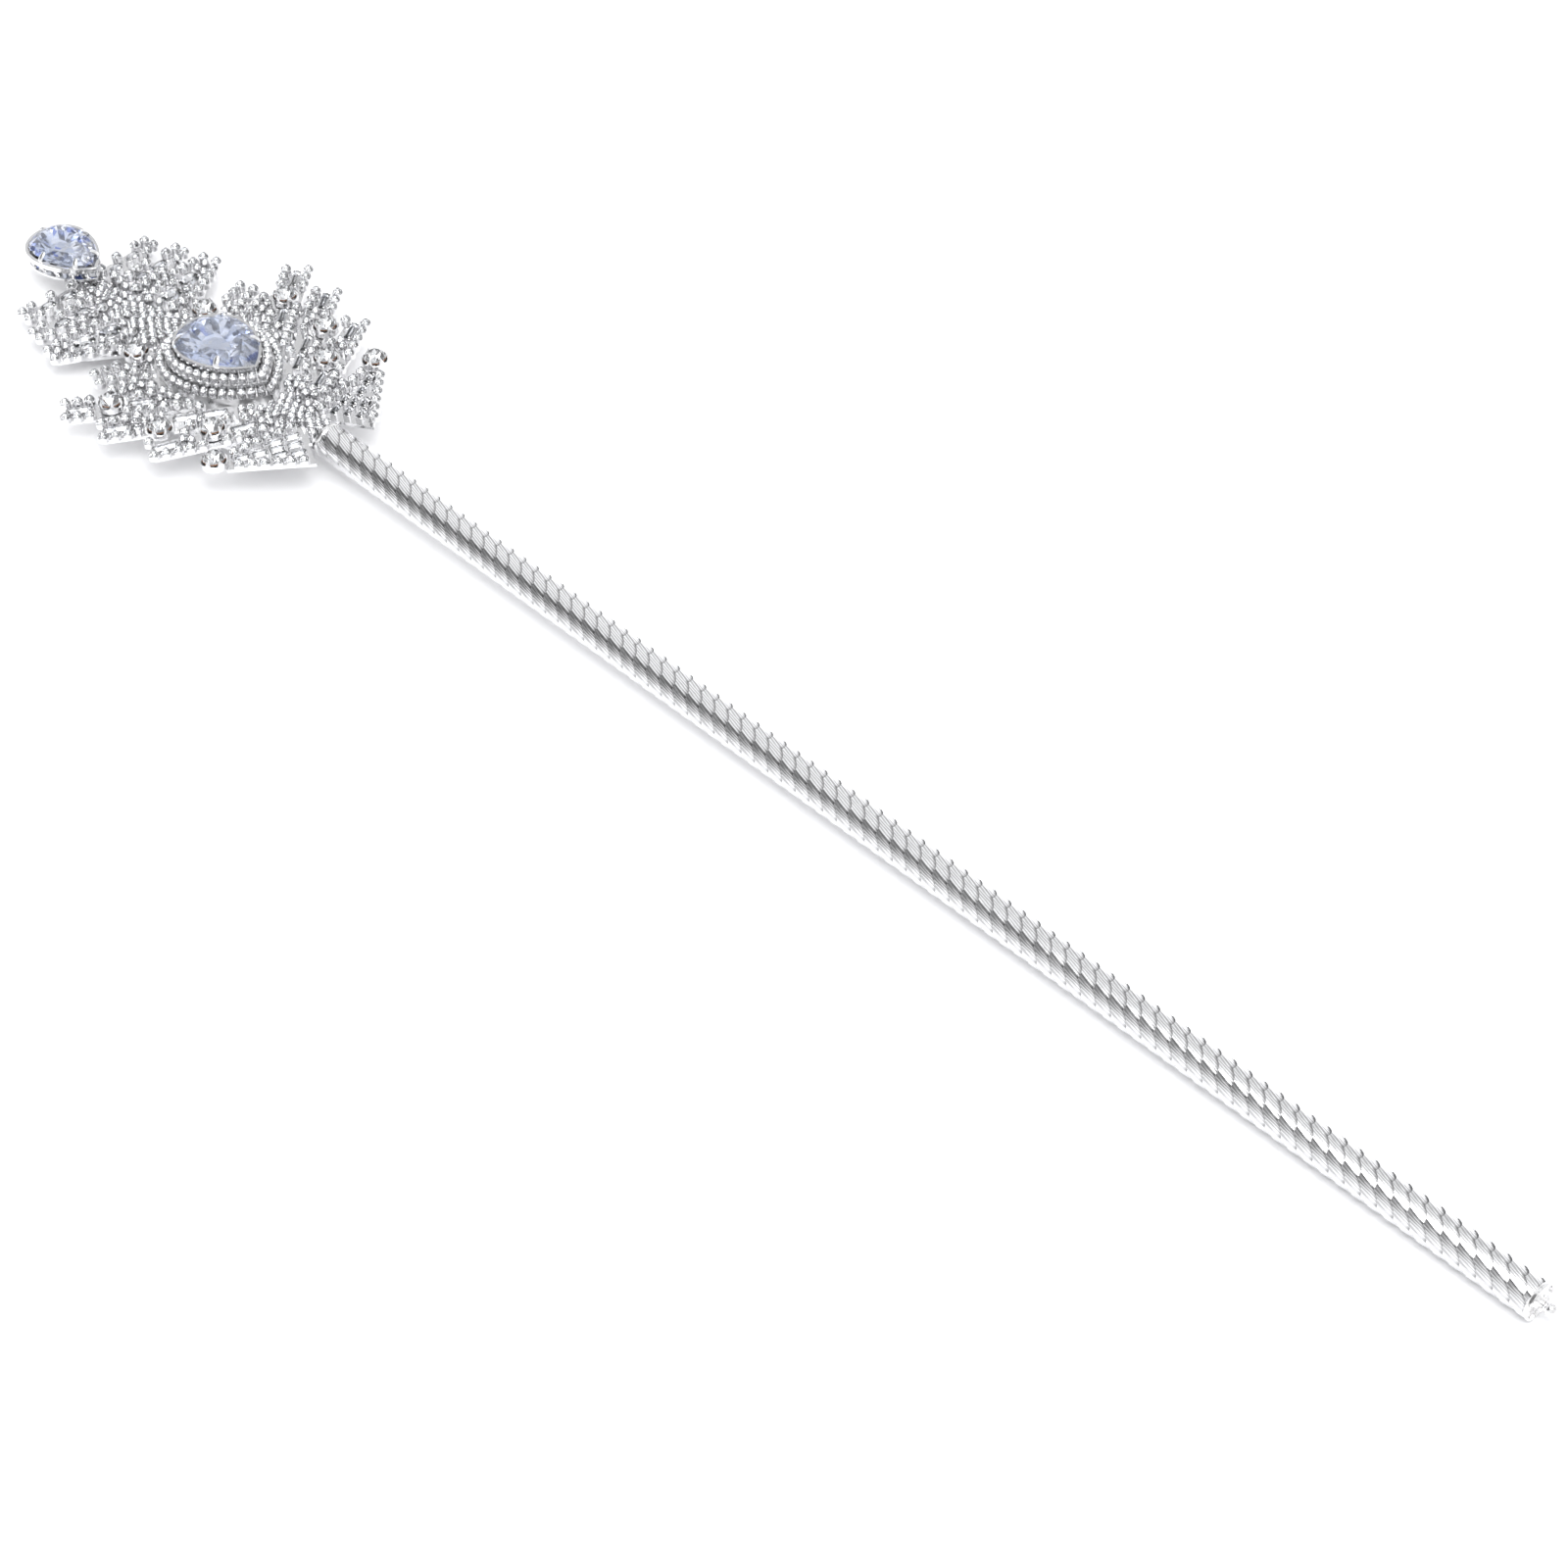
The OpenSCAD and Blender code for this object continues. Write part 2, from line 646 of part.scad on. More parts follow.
baguettes(right);  // baguettes_right
round_settings(left);  // round_settings_left
round_settings(right);  // round_settings_right
round_stones(left);  // round_stones_left
round_stones(right);  // round_stones_right
lobe_trays(left);  // lobe_trays_left
lobe_trays(right);  // lobe_trays_right
lobe_chains(left);  // lobe_chains_left
lobe_chains(right);  // lobe_chains_right
lobe_crystals(left);  // lobe_crystals_left
lobe_crystals(right);  // lobe_crystals_right
oval_stones(left);  // oval_stones_left
oval_stones(right);  // oval_stones_right
halo_base();
halo_chain();
halo_crystals();
centre_setting();
centre_stone();
pave_cups();
pave_crystals();
tip_post();
tip_setting();
tip_stone();
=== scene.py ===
"""Ceremonial wand: an engine-cut silver tube that carries a head of rhinestone feathers."""
import math
import random

import bmesh
import bpy
from mathutils import Matrix, Vector


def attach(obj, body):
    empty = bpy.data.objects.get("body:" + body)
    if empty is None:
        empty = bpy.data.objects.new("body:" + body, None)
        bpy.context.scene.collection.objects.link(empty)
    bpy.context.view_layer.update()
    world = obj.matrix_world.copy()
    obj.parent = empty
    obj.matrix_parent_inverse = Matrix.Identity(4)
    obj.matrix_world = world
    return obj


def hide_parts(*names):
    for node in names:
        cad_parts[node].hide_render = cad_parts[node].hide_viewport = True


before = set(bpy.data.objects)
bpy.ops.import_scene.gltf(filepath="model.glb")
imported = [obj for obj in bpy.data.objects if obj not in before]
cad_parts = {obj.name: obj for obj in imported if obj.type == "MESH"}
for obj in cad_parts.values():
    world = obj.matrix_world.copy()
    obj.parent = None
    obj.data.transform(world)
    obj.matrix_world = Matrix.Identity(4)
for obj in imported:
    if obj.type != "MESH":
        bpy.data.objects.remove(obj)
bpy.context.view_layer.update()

# ---- Camera ----
# The wand is looked at from the front left of its ball end, from well above,
# so that the tube runs away to the upper left.
camera_place = Vector((-0.469, -0.433, 0.689))
camera_right = Vector((0.7015, -0.7126, 0.0))
camera_up = Vector((0.5178, 0.5095, 0.6875))
camera_back = Vector((-0.4896, -0.4822, 0.7262))
camera_data = bpy.data.cameras.new("camera")
camera_data.lens = 99
camera_data.sensor_width = 36
camera_data.clip_start = 0.02
camera = bpy.data.objects.new("camera", camera_data)
camera.matrix_world = Matrix.Translation(camera_place) @ Matrix(
    (camera_right, camera_up, camera_back)).transposed().to_4x4()
bpy.context.collection.objects.link(camera)
bpy.context.scene.camera = camera
bpy.context.scene.view_settings.view_transform = "Standard"

# ---- Floor and light ----
# A pale paper sweep under the wand, one large soft box overhead and a white room.
# A grey card off to the upper left gives the metal something dark to mirror.
floor_half = 3.0
floor_low = -0.0045
floor_tilt = math.radians(0.53)
tube_foot = -0.181


def link_nodes(tree, source, output, target, socket):
    tree.links.new(source.outputs[output], target.inputs[socket])


def add_node(tree, kind, **values):
    """A shader node whose inputs are set by name, with _ for a space."""
    node = tree.nodes.new(kind)
    for key, value in values.items():
        if hasattr(node, key):
            setattr(node, key, value)
        else:
            node.inputs[key.replace("_", " ")].default_value = value
    return node


def new_material(name):
    material = bpy.data.materials.new(name)
    material.use_nodes = True
    return material, material.node_tree, material.node_tree.nodes["Principled BSDF"]


floor_mesh = bpy.data.meshes.new("floor")
floor_mesh.from_pydata(
    [(x * floor_half, y * floor_half, 0) for x, y in ((-1, -1), (1, -1), (1, 1), (-1, 1))],
    [], [(0, 1, 2, 3)])
floor = bpy.data.objects.new("floor", floor_mesh)
floor.matrix_world = (Matrix.Translation((0, tube_foot, floor_low))
                      @ Matrix.Rotation(-floor_tilt, 4, "X"))
bpy.context.collection.objects.link(floor)
paper, paper_tree, paper_shader = new_material("pale_paper")
paper_grain = add_node(paper_tree, "ShaderNodeTexNoise", Scale=60.0, Detail=3.0)
paper_tone = add_node(paper_tree, "ShaderNodeValToRGB")
paper_tone.color_ramp.elements[0].color = (0.93, 0.93, 0.94, 1)
paper_tone.color_ramp.elements[1].color = (0.96, 0.96, 0.965, 1)
link_nodes(paper_tree, paper_grain, "Fac", paper_tone, "Fac")
link_nodes(paper_tree, paper_tone, "Color", paper_shader, "Base Color")
paper_shader.inputs["Roughness"].default_value = 0.9
paper_shader.inputs["Specular IOR Level"].default_value = 0.1
floor_mesh.materials.append(paper)

soft_box_data = bpy.data.lights.new("soft_box", "AREA")
soft_box_data.shape = "RECTANGLE"
soft_box_data.size = 0.9
soft_box_data.size_y = 0.9
soft_box_data.energy = 11
soft_box = bpy.data.objects.new("soft_box", soft_box_data)
soft_box.matrix_world = Matrix.Translation((-0.25, -0.35, 1.4))
bpy.context.collection.objects.link(soft_box)

room_white = 1.0
room_dim = 0.62
floor_white = 1.2
card_grey = 0.26
card_inner = math.radians(20)
card_outer = math.radians(34)
card_direction = Vector((-0.59, 0.48, 0.65)).normalized()
room = bpy.data.worlds.new("room")
bpy.context.scene.world = room
room.use_nodes = True
room_tree = room.node_tree
room_direction = add_node(room_tree, "ShaderNodeTexCoord")
card_angle = add_node(room_tree, "ShaderNodeVectorMath", operation="DOT_PRODUCT")
card_angle.inputs[1].default_value = card_direction
card_edge = add_node(room_tree, "ShaderNodeMapRange", interpolation_type="SMOOTHSTEP")
card_edge.inputs["From Min"].default_value = math.cos(card_outer)
card_edge.inputs["From Max"].default_value = math.cos(card_inner)
card_edge.inputs["To Min"].default_value = room_white
card_edge.inputs["To Max"].default_value = card_grey
room_cloud = add_node(room_tree, "ShaderNodeTexNoise", Scale=2.6, Detail=1.0)
room_patch = add_node(room_tree, "ShaderNodeMapRange", interpolation_type="SMOOTHSTEP")
room_patch.inputs["From Min"].default_value = 0.36
room_patch.inputs["From Max"].default_value = 0.46
room_patch.inputs["To Min"].default_value = room_dim
room_patch.inputs["To Max"].default_value = room_white
room_light = add_node(room_tree, "ShaderNodeMath", operation="MULTIPLY")
link_nodes(room_tree, room_direction, "Generated", card_angle, 0)
link_nodes(room_tree, room_direction, "Generated", room_cloud, "Vector")
link_nodes(room_tree, card_angle, "Value", card_edge, "Value")
link_nodes(room_tree, room_cloud, "Fac", room_patch, "Value")
link_nodes(room_tree, card_edge, "Result", room_light, 0)
link_nodes(room_tree, room_patch, "Result", room_light, 1)
room_ray = add_node(room_tree, "ShaderNodeLightPath")
room_strength = add_node(room_tree, "ShaderNodeMix")
room_strength.inputs["B"].default_value = floor_white
link_nodes(room_tree, room_ray, "Is Diffuse Ray", room_strength, "Factor")
link_nodes(room_tree, room_light, "Value", room_strength, "A")
link_nodes(room_tree, room_strength, "Result", room_tree.nodes["Background"], "Strength")
room_tree.nodes["Background"].inputs["Color"].default_value = (0.985, 0.99, 1.0, 1)

# ---- Handle tube ----
# A drawn tube of silver-plated brass. An engine lathe has cut it all over into rings of
# eight slanting scales, each highest towards the head, and hatched every scale with fine lines.
mm = 0.001
tube_r = 4.5
tube_half = 181.0
bore_r = 3.9
rim_len = 1.0
cut_pitch = 4.2
cuts_round = 8
cut_steps = 8
slant_steps = 3
ring_climb = 4
scallop = 0.2
cut_depth = 0.3
cut_hollow = 0.18
cut_levels = (0.0, 0.34, 0.67, 1.0)
turned_steps = 64
steps_round = cuts_round * cut_steps


def new_group(name, inputs, outputs):
    """A node group with float inputs (name, value) and outputs (name, socket kind)."""
    group = bpy.data.node_groups.new(name, "ShaderNodeTree")
    for socket, value in inputs:
        group.interface.new_socket(
            socket, in_out="INPUT", socket_type="NodeSocketFloat").default_value = value
    for socket, kind in outputs:
        group.interface.new_socket(socket, in_out="OUTPUT", socket_type=kind)
    return (group, add_node(group, "NodeGroupInput"), add_node(group, "NodeGroupOutput"))


def use_group(tree, group, **values):
    node = tree.nodes.new("ShaderNodeGroup")
    node.node_tree = group
    for key, value in values.items():
        node.inputs[key.replace("_", " ")].default_value = value
    return node


# Cloudy polish and rubbing: where the plating is hazy, how rough it is and its tiny dents.
polish, polish_in, polish_out = new_group(
    "polish_wear",
    [("Scale", 500.0), ("Shine", 0.08), ("Haze", 0.3)],
    [("Roughness", "NodeSocketFloat"), ("Haze Mask", "NodeSocketFloat"),
     ("Height", "NodeSocketFloat")])
polish_place = add_node(polish, "ShaderNodeTexCoord")
polish_cloud = add_node(polish, "ShaderNodeTexNoise", Detail=4.0, Roughness=0.62)
polish_fine = add_node(polish, "ShaderNodeTexNoise", Detail=2.0)
polish_finer = add_node(polish, "ShaderNodeMath", operation="MULTIPLY")
polish_finer.inputs[1].default_value = 7.0
polish_mask = add_node(polish, "ShaderNodeMapRange")
polish_mask.inputs["From Min"].default_value = 0.38
polish_mask.inputs["From Max"].default_value = 0.68
polish_rough = add_node(polish, "ShaderNodeMapRange")
link_nodes(polish, polish_in, "Scale", polish_cloud, "Scale")
link_nodes(polish, polish_in, "Scale", polish_finer, 0)
link_nodes(polish, polish_finer, "Value", polish_fine, "Scale")
link_nodes(polish, polish_place, "Object", polish_cloud, "Vector")
link_nodes(polish, polish_place, "Object", polish_fine, "Vector")
link_nodes(polish, polish_cloud, "Fac", polish_mask, "Value")
link_nodes(polish, polish_mask, "Result", polish_rough, "Value")
link_nodes(polish, polish_in, "Shine", polish_rough, "To Min")
link_nodes(polish, polish_in, "Haze", polish_rough, "To Max")
link_nodes(polish, polish_rough, "Result", polish_out, "Roughness")
link_nodes(polish, polish_mask, "Result", polish_out, "Haze Mask")
link_nodes(polish, polish_fine, "Fac", polish_out, "Height")


tint_first, tint_second, tint_result = 6, 7, 2


def silver(name, bright, dull, scale, shine, haze, dents):
    """Plated metal: two tones, with the haze and dents of the polish group."""
    material, tree, shader = new_material(name)
    wear = use_group(tree, polish, Scale=scale, Shine=shine, Haze=haze)
    tone = add_tint(tree, bright, dull)
    bump = add_node(tree, "ShaderNodeBump", Strength=dents, Distance=0.00002)
    link_nodes(tree, wear, "Haze Mask", tone, 0)
    link_nodes(tree, tone, tint_result, shader, "Base Color")
    link_nodes(tree, wear, "Roughness", shader, "Roughness")
    link_nodes(tree, wear, "Height", bump, "Height")
    link_nodes(tree, bump, "Normal", shader, "Normal")
    shader.inputs["Metallic"].default_value = 1.0
    return material


def add_tint(tree, first, second, **values):
    """A colour mix node from the first colour, at factor 0, to the second."""
    tint = add_node(tree, "ShaderNodeMix", data_type="RGBA", **values)
    tint.inputs[tint_first].default_value = (*first, 1)
    tint.inputs[tint_second].default_value = (*second, 1)
    return tint


def make_piece(name, mesh_data, place, materials, replaced=(), sharp=None):
    """Turns mesh data in millimetres into a piece that rides with the wand."""
    bmesh.ops.recalc_face_normals(mesh_data, faces=mesh_data.faces)
    mesh_data.transform(place @ Matrix.Scale(mm, 4))
    mesh = bpy.data.meshes.new(name)
    mesh_data.to_mesh(mesh)
    mesh_data.free()
    for material in materials:
        mesh.materials.append(material)
    if sharp is not None:
        mesh.shade_smooth()
        mesh.set_sharp_from_angle(angle=math.radians(sharp))
    piece = bpy.data.objects.new(name, mesh)
    bpy.context.collection.objects.link(piece)
    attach(piece, "root")
    if replaced:
        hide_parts(*replaced)
    return piece


def add_turned(mesh_data, profile, steps, place=Matrix(), closed=False):
    """A lathe-turned solid about Z from (radius, height) pairs; closed makes a ring."""
    rings = []
    for radius, height in profile:
        rings.append([mesh_data.verts.new(place @ Vector((
            radius * math.cos(math.tau * k / steps), radius * math.sin(math.tau * k / steps),
            height))) for k in range(steps)])
    pairs = list(zip(rings, rings[1:])) + ([(rings[-1], rings[0])] if closed else [])
    for low, high in pairs:
        for k in range(steps):
            n = (k + 1) % steps
            mesh_data.faces.new((low[k], low[n], high[n], high[k]))
    if not closed:
        mesh_data.faces.new(rings[0])
        mesh_data.faces.new(rings[-1])


def cut_point(row, along, step):
    """A point on a scale: its row, the share along it, and the step round the tube."""
    turn = step - slant_steps * along
    bow = scallop * (1 - (2 * (turn / cut_steps % 1) - 1) ** 2)
    y = cut_pitch * (row + along - ring_climb * turn / steps_round - bow)
    hollow = cut_hollow * (1 - (2 * (step / cut_steps % 1) - 1) ** 2)
    radius = tube_r - hollow - cut_depth * (1 - along)
    limit = tube_half - rim_len
    angle = math.tau * turn / steps_round
    return Vector((radius * math.cos(angle), max(-limit, min(limit, y)), radius * math.sin(angle)))


tube_cut = bmesh.new()
cut_uv = tube_cut.loops.layers.uv.new("cuts")
first_row = -math.ceil(tube_half / cut_pitch) - 2
last_row = math.ceil(tube_half / cut_pitch) + ring_climb + 2


def add_cut_face(corners):
    """A face from (row, along, step) corners, unless it lies wholly past an end."""
    points = [cut_point(*corner) for corner in corners]
    end = tube_half - rim_len
    if all(p.y >= end for p in points) or all(p.y <= -end for p in points):
        return
    face = tube_cut.faces.new([tube_cut.verts.new(p) for p in points])
    for loop, (row, along, step) in zip(face.loops, corners):
        loop[cut_uv].uv = (step / cut_steps, row + along)


for row in range(first_row, last_row):
    for step in range(steps_round):
        for low, high in zip(cut_levels, cut_levels[1:]):
            add_cut_face([(row, low, step), (row, low, step + 1),
                          (row, high, step + 1), (row, high, step)])
        add_cut_face([(row, 1.0, step), (row, 1.0, step + 1),
                      (row + 1, 0.0, step + 1 - slant_steps), (row + 1, 0.0, step - slant_steps)])
bmesh.ops.remove_doubles(tube_cut, verts=tube_cut.verts, dist=0.002)
bmesh.ops.dissolve_degenerate(tube_cut, dist=0.002, edges=tube_cut.edges)
bmesh.ops.holes_fill(tube_cut, edges=[e for e in tube_cut.edges if e.is_boundary], sides=0)

engraved, engraved_tree, engraved_shader = new_material("engine_cut_silver")
cut_wear = use_group(engraved_tree, polish, Scale=260.0, Shine=0.12, Haze=0.26)
cut_place = add_node(engraved_tree, "ShaderNodeTexCoord")
hatch = add_node(engraved_tree, "ShaderNodeTexWave", Scale=1.45, Distortion=0.0)
hatch_band = add_node(engraved_tree, "ShaderNodeMapRange")
hatch_band.inputs["From Min"].default_value = 0.1
hatch_band.inputs["From Max"].default_value = 0.9
hatch_tone = add_tint(engraved_tree, (0.66, 0.66, 0.67), (0.96, 0.96, 0.97))
cut_parts = add_node(engraved_tree, "ShaderNodeSeparateXYZ")
across_cut = add_node(engraved_tree, "ShaderNodeMath", operation="PINGPONG")
across_cut.inputs[1].default_value = 0.5
along_cut = add_node(engraved_tree, "ShaderNodeMath", operation="FRACT")
# Painted shade: the base colour is darkened along the long edges of every scale and at the foot of
# every step of the cut, where shade falls.
long_edge_painted_shade = add_node(engraved_tree, "ShaderNodeMapRange", interpolation_type="SMOOTHSTEP")
long_edge_painted_shade.inputs["From Min"].default_value = 0.0
long_edge_painted_shade.inputs["From Max"].default_value = 0.09
long_edge_painted_shade.inputs["To Min"].default_value = 0.62
step_foot_painted_shade = add_node(engraved_tree, "ShaderNodeMapRange", interpolation_type="SMOOTHSTEP")
step_foot_painted_shade.inputs["From Min"].default_value = 0.02
step_foot_painted_shade.inputs["From Max"].default_value = 0.3
step_foot_painted_shade.inputs["To Min"].default_value = 0.42
cut_painted_shade = add_node(engraved_tree, "ShaderNodeMath", operation="MULTIPLY")
# The hatch tone is multiplied by this painted shade.
hatch_with_painted_shade = add_node(engraved_tree, "ShaderNodeMix", data_type="RGBA", blend_type="MULTIPLY")
hatch_with_painted_shade.inputs[0].default_value = 1.0
hatch_bump = add_node(engraved_tree, "ShaderNodeBump", Strength=0.5, Distance=0.00003)
link_nodes(engraved_tree, cut_place, "UV", hatch, "Vector")
link_nodes(engraved_tree, hatch, "Fac", hatch_band, "Value")
link_nodes(engraved_tree, hatch_band, "Result", hatch_tone, 0)
link_nodes(engraved_tree, cut_place, "UV", cut_parts, "Vector")
link_nodes(engraved_tree, cut_parts, "X", across_cut, 0)
link_nodes(engraved_tree, cut_parts, "Y", along_cut, 0)
link_nodes(engraved_tree, across_cut, "Value", long_edge_painted_shade, "Value")
link_nodes(engraved_tree, along_cut, "Value", step_foot_painted_shade, "Value")
link_nodes(engraved_tree, long_edge_painted_shade, "Result", cut_painted_shade, 0)
link_nodes(engraved_tree, step_foot_painted_shade, "Result", cut_painted_shade, 1)
link_nodes(engraved_tree, hatch_tone, tint_result, hatch_with_painted_shade, tint_first)
link_nodes(engraved_tree, cut_painted_shade, "Value", hatch_with_painted_shade, tint_second)
link_nodes(engraved_tree, hatch_with_painted_shade, tint_result, engraved_shader, "Base Color")
link_nodes(engraved_tree, hatch, "Fac", hatch_bump, "Height")
link_nodes(engraved_tree, hatch_bump, "Normal", engraved_shader, "Normal")
link_nodes(engraved_tree, cut_wear, "Roughness", engraved_shader, "Roughness")
engraved_shader.inputs["Metallic"].default_value = 1.0
make_piece("engine_cut_tube", tube_cut, Matrix(), [engraved],
           replaced=["handle_tube"], sharp=22)

# The rims are turned smooth and bright.
turned_silver = silver(
    "turned_silver", (0.95, 0.95, 0.96), (0.82, 0.81, 0.8), 900.0, 0.05, 0.2, 0.15)
rim_edge = 0.15
rims = bmesh.new()
along_tube = Matrix.Rotation(math.radians(-90), 4, "X")
for end in (-1, 1):
    near = end * (tube_half - rim_len - rim_edge)
    far = end * tube_half
    soft = end * (tube_half - rim_edge)
    add_turned(rims, [(bore_r, near), (tube_r - 0.25, near), (tube_r - 0.12, near + 0.2 * end),
                      (tube_r, soft - 0.45 * end), (tube_r, soft), (tube_r - rim_edge, far),
                      (bore_r + 0.1, far), (bore_r, soft)], turned_steps, along_tube, closed=True)
make_piece("turned_tube_rims", rims, Matrix(), [turned_silver], sharp=35)

# ---- End plug and ball ----
# A turned disc closes the ball end, a little below the tube's rim. A turned ball on a
# flared neck is riveted through its middle.
plug_face = -180.2
plug_t = 2.4
neck_r = 0.9
ball_r = 1.5
ball_reach = 3.3
to_ball = Matrix.Translation((0, plug_face, 0)) @ Matrix.Rotation(math.radians(90), 4, "X")
plug = bmesh.new()
add_turned(plug, [(neck_r, -plug_t), (bore_r - 0.3, -plug_t), (bore_r, 0.3 - plug_t),
                  (bore_r, -0.12), (bore_r - 0.12, 0), (3.0, 0), (2.9, -0.06), (2.75, -0.06),
                  (2.65, 0), (neck_r, 0)], turned_steps, to_ball, closed=True)
make_piece("turned_end_plug", plug, Matrix(), [turned_silver],
           replaced=["end_plug"], sharp=35)
ball = bmesh.new()
ball_arc = [(ball_r * math.sin(math.radians(a)), ball_reach - ball_r * math.cos(math.radians(a)))
            for a in range(40, 180, 10)]
add_turned(ball, [(1.75, -plug_t - 0.8), (1.8, -plug_t - 0.6), (1.8, -plug_t), (neck_r, -plug_t),
                  (neck_r, 0), (1.8, 0), (1.72, 0.14), (1.3, 0.4), (1.02, 0.75), (neck_r, 1.1),
                  (neck_r, 1.7), (1.05, 1.85), (1.1, 2.0), (1.02, 2.1), *ball_arc,
                  (0.08, ball_reach + ball_r)], 40, to_ball)
make_piece("turned_ball", ball, Matrix(), [turned_silver],
           replaced=["ball_finial"], sharp=40)

# ---- Stem, spine, plates and trays ----
# Plain cast and stamped parts, silver plated: the stem in the tube, the bar up the back,
# the two back plates and the trays that carry the chains. They keep their made shape.
cast_silver = silver("cast_silver", (0.92, 0.92, 0.93), (0.78, 0.78, 0.78), 350.0, 0.2, 0.4, 0.5)
stamped_silver = silver(
    "stamped_silver", (0.95, 0.95, 0.96), (0.88, 0.88, 0.89), 420.0, 0.14, 0.3, 0.3)


def give_finish(node, material):
    for material_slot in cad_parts[node].material_slots:
        material_slot.material = material


for node in ("head_stem", "spine_bar", "tip_post"):
    give_finish(node, cast_silver)
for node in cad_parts:
    if "tray" in node or "plate" in node:
        give_finish(node, stamped_silver)

# ---- Cup chain of the feathers and lobes ----
# Rows of round crystals in stamped cups, joined by short links. Four claws of each cup
# are pressed over the stone's edge. The rows are soldered to the trays.
droop = math.radians(4.2)
head = Matrix.Translation((0, tube_half * mm, 0)) @ Matrix.Rotation(-droop, 4, "X")
cup_r = 1.38
small_r = 1.05
cup_h = 2.2
cup_rim = 1.5
small_rim = 1.45
claw_top = cup_h + 0.15
floor_drop = 0.05
cup_turn = math.radians(45)
cup_claws = 4
setting_claws = 6
cup_wall = 0.16
seat_z = 0.99
chain_pitch = 2.97
link_w = 0.9
link_t = 0.5
random.seed(11)


def solids(node):
    """The separate solids of a node, each a list of points in the head's millimetres."""
    source = bmesh.new()
    source.from_mesh(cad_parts[node].data)
    bmesh.ops.remove_doubles(source, verts=source.verts, dist=1e-7)
    to_head = Matrix.Scale(1 / mm, 4) @ head.inverted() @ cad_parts[node].matrix_world
    seen, found = set(), []
    for start in source.verts:
        if start in seen:
            continue
        seen.add(start)
        group, queue = [], [start]
        while queue:
            vert = queue.pop()
            group.append(to_head @ vert.co)
            for edge in vert.link_edges:
                other = edge.other_vert(vert)
                if other not in seen:
                    seen.add(other)
                    queue.append(other)
        found.append(group)
    source.free()
    return found


def seat_of(points):
    """Middle of a solid in plan, at its lowest level."""
    low = [min(p[k] for p in points) for k in range(3)]
    high = [max(p[k] for p in points) for k in range(3)]
    return Vector(((low[0] + high[0]) / 2, (low[1] + high[1]) / 2, low[2]))


def add_cup(mesh_data, place, radius, low, high, teeth, floor_z):
    """A stamped cup whose rim rises into claws that lean over the stone."""
    steps = 4 * teeth
    rings = []
    for kind in range(6):
        ring = []
        for k in range(steps):
            claw = (k % 4 == 0, k % 2 == 1)
            r, z = [
                (radius * 0.72, 0.0),
                (radius, 0.3),
                (radius, (low + high) / 2 if claw[0] else low + 0.08 if claw[1] else low - 0.05),
                (radius * 0.8 if claw[0] else radius * 0.95, high if claw[0] else low + (
                    0.22 if claw[1] else 0.02)),
                (radius * 0.72 if claw[0] else radius - cup_wall, high - 0.14 if claw[0] else low),
                (radius * 0.45, floor_z)][kind]
            angle = math.tau * k / steps
            ring.append(mesh_data.verts.new(
                place @ Vector((r * math.cos(angle), r * math.sin(angle), z))))
        rings.append(ring)
    for lower, upper in zip(rings, rings[1:]):
        for k in range(steps):
            n = (k + 1) % steps
            mesh_data.faces.new((lower[k], lower[n], upper[n], upper[k]))
    mesh_data.faces.new(rings[0])
    mesh_data.faces.new(rings[-1])


def add_stone(mesh_data, place, outline, cuts, table, star, girdle, belly, culet):
    """A faceted stone. Levels are (growth of the outline, height); the crown's faces take
    the first material, the foiled back the second and the girdle the third."""
    def level(count, size, shift=0.0):
        return [
            mesh_data.verts.new(place @ Vector((*outline((k + shift) / count, size[0]), size[1])))
            for k in range(count)]

    top, mid = level(cuts, table), level(cuts, star, 0.5)
    upper, lower = level(2 * cuts, (0, girdle[1])), level(2 * cuts, (0, girdle[0]))
    deep, end = level(cuts, belly, 0.5), level(cuts, culet)
    crown, back, edge = [top], [end], []
    for k in range(cuts):
        n = (k + 1) % cuts
        a, b, c = 2 * k, 2 * k + 1, (2 * k + 2) % (2 * cuts)
        crown += [(top[k], top[n], mid[k]), (top[k], mid[k], upper[a]), (top[n], upper[c], mid[k]),
                  (mid[k], upper[b], upper[a]), (mid[k], upper[c], upper[b])]
        edge += [(upper[a], upper[b], lower[b], lower[a]),
                 (upper[b], upper[c], lower[c], lower[b])]
        back += [(lower[a], lower[b], deep[k]), (lower[b], lower[c], deep[k]),
                 (lower[a], deep[k], end[k]), (lower[c], end[n], deep[k]),
                 (deep[k], end[n], end[k])]
    for index, faces in enumerate((crown, back, edge)):
        for corners in faces:
            mesh_data.faces.new(corners).material_index = index


def round_outline(radius):
    return lambda share, grow: ((radius + grow) * math.cos(math.tau * share),
                                (radius + grow) * math.sin(math.tau * share))


def add_crystal(mesh_data, place, radius):
    """A small round crystal that sits in a chain cup."""
    girdle_r = radius - cup_wall - 0.04
    add_stone(mesh_data, place, round_outline(girdle_r), 8, (-0.42 * girdle_r, cup_h + 0.36),
              (-0.17 * girdle_r, cup_h + 0.06), (1.5, 1.66), (-0.45 * girdle_r, 1.2),
              (-0.85 * girdle_r, seat_z))


# Tone of the stones: each stone a little different, with streaks, and a few cells given a painted
# reflection, dark glints painted into the colour.
stone_tone, stone_in, stone_out = new_group(
    "stone_tone", [("Scale", 700.0), ("Low", 0.5), ("High", 1.0), ("Threshold", 0.25)],
    [("Tone", "NodeSocketFloat"), ("Painted Reflection", "NodeSocketFloat")])
stone_place = add_node(stone_tone, "ShaderNodeTexCoord")
stone_cell = add_node(stone_tone, "ShaderNodeTexVoronoi")
stone_split = add_node(stone_tone, "ShaderNodeSeparateColor")
stone_range = add_node(stone_tone, "ShaderNodeMapRange")
